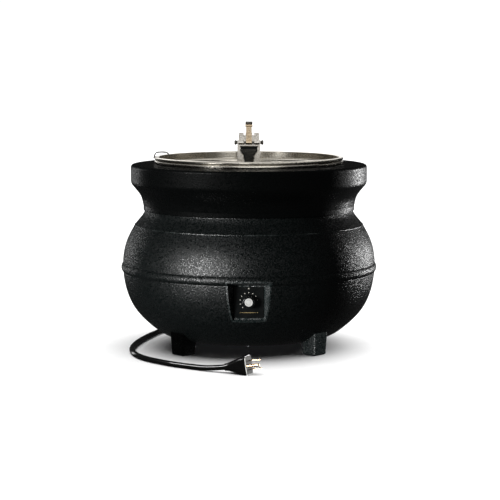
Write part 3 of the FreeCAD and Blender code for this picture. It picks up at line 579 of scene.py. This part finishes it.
def dial_print():
    """Pale printing ink, slightly uneven."""
    f = Finish("dial_print", (0.74, 0.72, 0.64), 0.50)
    ink = f.noise(1600.0, 3.0, 0.7)
    f.tint(ink, [(0.3, (0.55, 0.53, 0.46)), (0.7, (0.82, 0.80, 0.72))])
    f.gloss(ink, 0.42, 0.60)
    f.relief((ink, 0.15, 0.0001))
    return f.material


def gilt_print():
    f = Finish("gilt_print", (0.62, 0.47, 0.22), 0.40, 0.4)
    ink = f.noise(1600.0, 3.0, 0.7)
    f.tint(ink, [(0.3, (0.40, 0.30, 0.13)), (0.7, (0.72, 0.56, 0.28))])
    f.gloss(ink, 0.32, 0.52)
    f.relief((ink, 0.15, 0.0001))
    return f.material


def pale_floor():
    f = Finish("pale_floor", (0.86, 0.86, 0.86), 0.85, Specular_IOR_Level=0.1)
    paper = f.noise(35.0, 5.0, 0.6)
    f.tint(paper, [(0.3, (0.87, 0.87, 0.87)), (0.7, (0.90, 0.90, 0.90))])
    f.relief((paper, 0.05, 0.001))
    return f.material


FINISHES = {
    "textured_body": textured_body(),
    "satin_collar": satin_collar(),
    "gloss_black": gloss_black(),
    "knob_white": knob_white(),
    "stainless": spun_steel(),
    "bright_steel": bright_steel(),
    "dark_steel": dark_steel(),
    "zinc_steel": zinc_steel(),
    "aluminium_part": aluminium_part(),
    "brass_part": brass_part(),
    "copper_tube": copper_tube(),
    "rubber_black": rubber_black(),
    "cord_jacket": cord_jacket(),
    "insulation": insulation(),
    "phenolic": phenolic(),
    "core_sleeve": core_sleeve(),
    "tie_black": tie_black(),
    "plug_white": plug_white(),
}
BRUSHED = brushed_steel("brushed_steel", 1.0, 1.0, 1.0)
WARM_BRUSHED = brushed_steel("warm_brushed_steel", 0.98, 0.82, 0.62)

# Nodes whose look differs from the rest of their slot
OWN_FINISH = {
    "hinge_bracket": BRUSHED,
    "hinge_back_plate": BRUSHED,
    "hinge_knuckles": BRUSHED,
    "hinge_tongue": WARM_BRUSHED,
    "rim_lift_tab": FINISHES["dark_steel"],
}

for name, node in nodes.items():
    for slot in node.material_slots:
        slot.material = OWN_FINISH.get(name) or FINISHES[slot.material.name.split(".")[0]]

cord.data.materials.append(FINISHES["cord_jacket"])


# ------------------------------------------------------------------ dial marks

PANEL_FRONT_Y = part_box("control_panel")[0].y
DIAL = Vector((0.0, PANEL_FRONT_Y, middle("knob_cap").z))
DOT_CIRCLE_R = 0.0132
DOT_ANGLES = (-135, -108, -81, -54, -27, 0, 27, 54, 81)
DOT_R = 0.0008
TOP_DOT_R = 0.0010
TOP_DOT_RISE = 0.0195
DOT_PROUD = 0.00012
INK_SUNK = 0.00002
RULE_DROP = 0.0172
RULE_HALF = 0.0115
RULE_PROUD = 0.00010
RULE_END_HALF_HIGH = 0.00022
RULE_SWELL = 0.00030
RULE_STATIONS = 13
END_DOT_GAP = 0.0016
END_DOT_R = 0.0006


def printed_dot(made, x, z, radius):
    """Low round mark with a softened edge, on the panel's face."""
    centre = Vector((x, DIAL.y, z))
    rings = []
    for grow, rise in ((1.0, -INK_SUNK), (1.0, DOT_PROUD * 0.6), (0.8, DOT_PROUD)):
        lifted = centre - Vector((0, rise, 0))
        rings.append(round_loop(lifted, Vector((1, 0, 0)), Vector((0, 0, 1)), radius * grow, 20))
    loft(made, rings)


def dial_dots(made):
    for angle in DOT_ANGLES:
        a = math.radians(angle)
        x = DIAL.x + DOT_CIRCLE_R * math.sin(a)
        z = DIAL.z + DOT_CIRCLE_R * math.cos(a)
        printed_dot(made, x, z, DOT_R)
    printed_dot(made, DIAL.x, DIAL.z + TOP_DOT_RISE, TOP_DOT_R)


def dial_rule(made):
    """Plain thin line under the dial, thicker in the middle, with a round mark at each end."""
    z = DIAL.z - RULE_DROP
    back = DIAL.y + INK_SUNK
    front = DIAL.y - RULE_PROUD
    rings = []
    for i in range(RULE_STATIONS):
        t = -1.0 + 2.0 * i / (RULE_STATIONS - 1)
        thick = RULE_END_HALF_HIGH + RULE_SWELL * (1.0 - t * t)
        x = DIAL.x + RULE_HALF * t
        section = ((back, -thick), (front, -thick * 0.8), (front, thick * 0.8), (back, thick))
        rings.append([Vector((x, y, z + rise)) for y, rise in section])
    loft(made, rings)
    for side in (-1, 1):
        printed_dot(made, DIAL.x + side * (RULE_HALF + END_DOT_GAP), z, END_DOT_R)


dots = new_piece("dial_dots", dial_dots, "kettle")
dots.data.materials.append(dial_print())
rule = new_piece("dial_rule", dial_rule, "kettle")
rule.data.materials.append(gilt_print())


# ------------------------------------------------------------------ cord tie and plug

STRAP_HALF = 0.0045
STRAP_CORNER = 0.0026
STRAP_INSIDE = 0.00005
STRAP_OUTSIDE = 0.0009
STRAP_LOWEST = 0.0001


def strap_outline(grow):
    """Section of the strap's loop round the coil's turns, from the inside upper corner, in y and z."""
    inner = COIL_INNER_R - CORD_R - grow
    upper = COIL_INNER_R + COIL_PITCH + CORD_R + grow
    outer = COIL_INNER_R + 2 * COIL_PITCH + CORD_R + grow
    low = COIL_LOW_Z - CORD_R - grow
    shelf = COIL_LOW_Z + CORD_R + grow
    top = COIL_LOW_Z + COIL_PITCH + CORD_R + grow
    return [(inner, top), (upper, top), (outer, shelf), (outer, low), (inner, low)]


def rounded(points, corner, steps=5):
    """The closed outline with each corner replaced by a curve that starts and ends that far from it."""
    soft = []
    count = len(points)
    for i, point in enumerate(points):
        p = Vector(point)
        before = (Vector(points[i - 1]) - p).normalized() * corner
        after = (Vector(points[(i + 1) % count]) - p).normalized() * corner
        for k in range(steps + 1):
            t = k / steps
            soft.append(p + before * (1 - t) ** 2 + after * t ** 2)
    return soft


def tie_strap(made):
    """Band of even thickness that follows the turns, wider than it is thick."""
    skins = [rounded(strap_outline(grow), STRAP_CORNER) for grow in (STRAP_INSIDE, STRAP_OUTSIDE)]
    rows = []
    for skin, x in ((0, -STRAP_HALF), (1, -STRAP_HALF), (1, STRAP_HALF), (0, STRAP_HALF)):
        ring = [COIL_CENTRE + Vector((x, y, max(z, STRAP_LOWEST))) for y, z in skins[skin]]
        rows.append([made.verts.new(p) for p in ring])
    bridge(made, rows, rows[1:] + rows[:1])


strap = new_piece("tie_strap", tie_strap, "kettle", smooth=False)
strap.data.materials.append(FINISHES["tie_black"])
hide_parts("cord_tie")


# ------------------------------------------------------------------ floor and light


FLOOR_REACH = 30.0
FLOOR_RINGS = 6
FLOOR_SIDES = 48


def floor_disc(made):
    """Flat floor that reaches far beyond the view on all sides."""
    rows = []
    for k in range(1, FLOOR_RINGS + 1):
        radius = FLOOR_REACH * (k / FLOOR_RINGS) ** 2
        ring = round_loop(Vector((0, 0, 0)), Vector((1, 0, 0)), Vector((0, 1, 0)), radius, FLOOR_SIDES)
        rows.append([made.verts.new(p) for p in ring])
    made.faces.new(rows[0])
    bridge(made, rows, rows[1:])


floor = new_piece("studio_floor", floor_disc, None)
floor.data.materials.append(pale_floor())
floor.visible_glossy = False
floor.visible_diffuse = False


def add_lamp(data, place, aim, subjects):
    """A lamp that shines along aim and falls on its subjects alone, as a small flagged lamp would."""
    lamp = bpy.data.objects.new(data.name, data)
    lamp.location = place
    lamp.rotation_euler = Vector(aim).to_track_quat("-Z", "Y").to_euler()
    scene.collection.objects.link(lamp)
    group = bpy.data.collections.new(data.name + "_subjects")
    for obj in subjects:
        group.objects.link(obj)
    lamp.light_linking.receiver_collection = group


def overhead(strength, spread_deg, direction, subjects):
    """Broad even light from above; direction points towards it."""
    data = bpy.data.lights.new("overhead", "SUN")
    data.energy = strength
    data.angle = math.radians(spread_deg)
    add_lamp(data, (0.0, 0.0, 0.0), -Vector(direction), subjects)


def soft_box(name, place, target, size, power, subjects):
    """Rectangular studio light that faces a point."""
    data = bpy.data.lights.new(name, "AREA")
    data.shape = "RECTANGLE"
    data.size, data.size_y = size
    data.energy = power
    add_lamp(data, place, Vector(target) - Vector(place), subjects)


# What the lamps fall on
STEEL_NODES = (
    "water_well", "inset_vessel", "bracket_rivets", "hinge_pin", "latch_pin",
    "hinge_bracket", "hinge_back_plate", "hinge_knuckles", "hinge_tongue", "rim_lift_tab",
)
STEEL = [nodes[n] for n in STEEL_NODES]
STEEL_AND_ROD = STEEL + [nodes["tongue_rod"]]
MOULDED = [o for o in scene.objects if o.type in ("MESH", "CURVE") and o is not floor and o not in STEEL]
COLLAR = nodes["neck_collar"]
PLUG = nodes["plug_body"]
POCKET = nodes["control_pocket"]
KEYED = [o for o in MOULDED if o not in (COLLAR, cord, PLUG, nodes["foot_front_left"])]

# Points that most lamps face
MID_BODY = (0.0, 0.0, 0.15)
MID_RIM = (0.0, 0.0, 0.30)

overhead(6.0, 110.0, (0.20, 0.26, 1.0), [floor])
soft_box("steel_top", (0.0, 0.6, 2.2), MID_RIM, (4.4, 4.4), 54.0, STEEL)
soft_box("steel_card", (0.6, -3.2, 1.5), MID_RIM, (3.2, 2.6), 50.0, STEEL_AND_ROD)
soft_box("key", (-1.50, -1.70, 0.26), MID_BODY, (0.50, 1.10), 68.0, KEYED)
soft_box("collar_key", (-1.75, -1.45, 0.9), (0.0, 0.0, 0.27), (0.35, 0.5), 7.0, [COLLAR])
soft_box("edge_right", (1.7, 1.45, 0.06), MID_BODY, (0.35, 0.9), 20.0, MOULDED)
soft_box("edge_left", (-1.5, 1.9, 0.20), (0.0, 0.0, 0.17), (0.35, 0.9), 2.5, MOULDED)
soft_box("steel_back", (-0.4, 3.2, 1.4), MID_RIM, (3.2, 2.2), 26.0, STEEL_AND_ROD)
soft_box("steel_key", (-1.50, -1.70, 0.26), MID_RIM, (0.5, 0.7), 8.0, STEEL)
soft_box("pocket_key", (-1.50, -1.70, 0.20), (0.0, -0.16, 0.09), (0.35, 0.5), 160.0, [POCKET])
soft_box("foot_key", (0.3, -1.9, 0.25), (0.1, -0.1, 0.02), (0.5, 0.5), 60.0, [nodes["foot_front_right"]])
soft_box("cord_top", (-1.3, -1.0, 1.2), (-0.1, -0.2, 0.0), (2.4, 0.25), 75.0, [cord, PLUG])

# White behind the object, and a low even fill everywhere else
FILL = 0.025
BACKDROP = 1.05

world = bpy.data.worlds.new("studio")
world.use_nodes = True
scene.world = world
background = world.node_tree.nodes["Background"]
background.inputs["Color"].default_value = (1.0, 1.0, 1.0, 1.0)
light_path = world.node_tree.nodes.new("ShaderNodeLightPath")
level = world.node_tree.nodes.new("ShaderNodeMapRange")
level.inputs["To Min"].default_value = FILL
level.inputs["To Max"].default_value = BACKDROP
world.node_tree.links.new(light_path.outputs["Is Camera Ray"], level.inputs["Value"])
world.node_tree.links.new(level.outputs["Result"], background.inputs["Strength"])

scene.view_settings.view_transform = "Standard"
scene.view_settings.look = "None"
